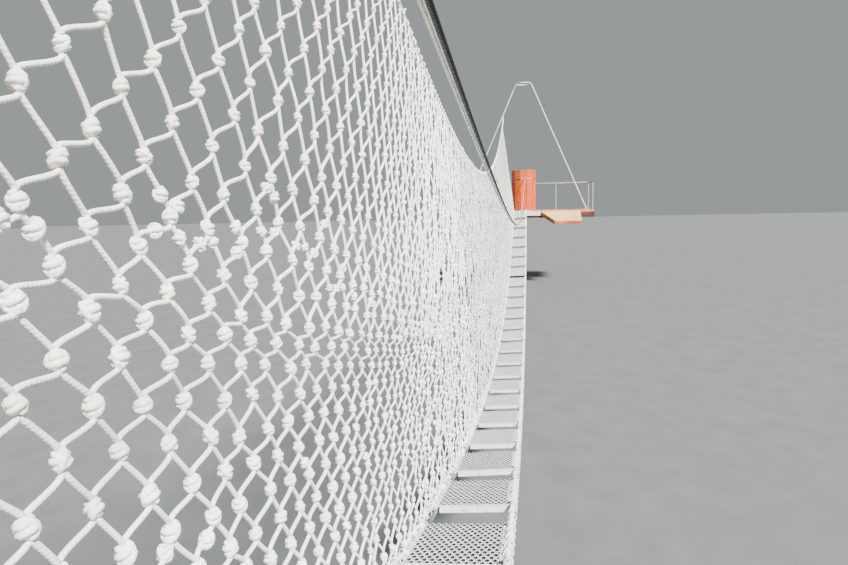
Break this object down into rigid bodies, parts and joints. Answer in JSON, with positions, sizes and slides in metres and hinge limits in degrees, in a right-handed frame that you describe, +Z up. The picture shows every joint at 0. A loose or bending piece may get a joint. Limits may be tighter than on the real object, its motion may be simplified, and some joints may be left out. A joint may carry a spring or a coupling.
{
  "type": "rope suspension footbridge",
  "caption": "Suspended footbridge of perforated treads on cables, with one tall knotted net wall, a hand line, and a railed plank platform with sloping wings and slatted trunk guard at each end.",
  "frame": {"origin": "middle of the inner face of the near trunk guard's front slat, where it bears on the trunk", "axes": "+X along the bridge from the near tree to the far tree, +Y to the net's side, +Z up"},
  "size_m": [21.44, 4, 5.3866],
  "materials": {
    "white_rope": "weathered white braided polyester rope",
    "tread_paint": "worn white paint on expanded steel",
    "steel_wire": "galvanised wire rope",
    "black_rope": "black sheathed rope",
    "stained_board": "orange wood stain, sun faded",
    "plain_timber": "sawn timber",
    "pipe_paint": "grey-green paint on pipe"
  },
  "bodies": {
    "root": {"deck_cable_left": "steel_wire", "deck_cable_right": "steel_wire", "tread_01": "tread_paint", "tread_02": "tread_paint", "tread_03": "tread_paint", "tread_04": "tread_paint", "tread_05": "tread_paint", "tread_06": "tread_paint", "tread_07": "tread_paint", "tread_08": "tread_paint", "tread_09": "tread_paint", "tread_10": "tread_paint", "tread_11": "tread_paint", "tread_12": "tread_paint", "tread_13": "tread_paint", "tread_14": "tread_paint", "tread_15": "tread_paint", "tread_16": "tread_paint", "tread_17": "tread_paint", "tread_18": "tread_paint", "tread_19": "tread_paint", "tread_20": "tread_paint", "tread_21": "tread_paint", "tread_22": "tread_paint", "tread_23": "tread_paint", "tread_24": "tread_paint", "tread_25": "tread_paint", "tread_26": "tread_paint", "net_foot_rope": "white_rope", "edge_rope_right": "white_rope", "net_head_rope": "white_rope", "net_panel_1": "white_rope", "net_panel_2": "white_rope", "net_panel_3": "white_rope", "net_panel_4": "white_rope", "net_panel_5": "white_rope", "net_panel_6": "white_rope", "hand_line": "black_rope", "hand_wire": "steel_wire", "trunk_guard_near": "stained_board", "platform_planks_near": "stained_board", "platform_frame_near": "plain_timber", "platform_wing_a_near": "stained_board", "platform_wing_b_near": "stained_board", "guard_rail_back_near": "pipe_paint", "guard_rail_side_a_near": "pipe_paint", "guard_rail_side_b_near": "pipe_paint", "platform_stays_near": "steel_wire", "trunk_guard_far": "stained_board", "platform_planks_far": "stained_board", "platform_frame_far": "plain_timber", "platform_wing_a_far": "stained_board", "platform_wing_b_far": "stained_board", "guard_rail_back_far": "pipe_paint", "guard_rail_side_a_far": "pipe_paint", "guard_rail_side_b_far": "pipe_paint", "platform_stays_far": "steel_wire"}
  },
  "joints": []
}
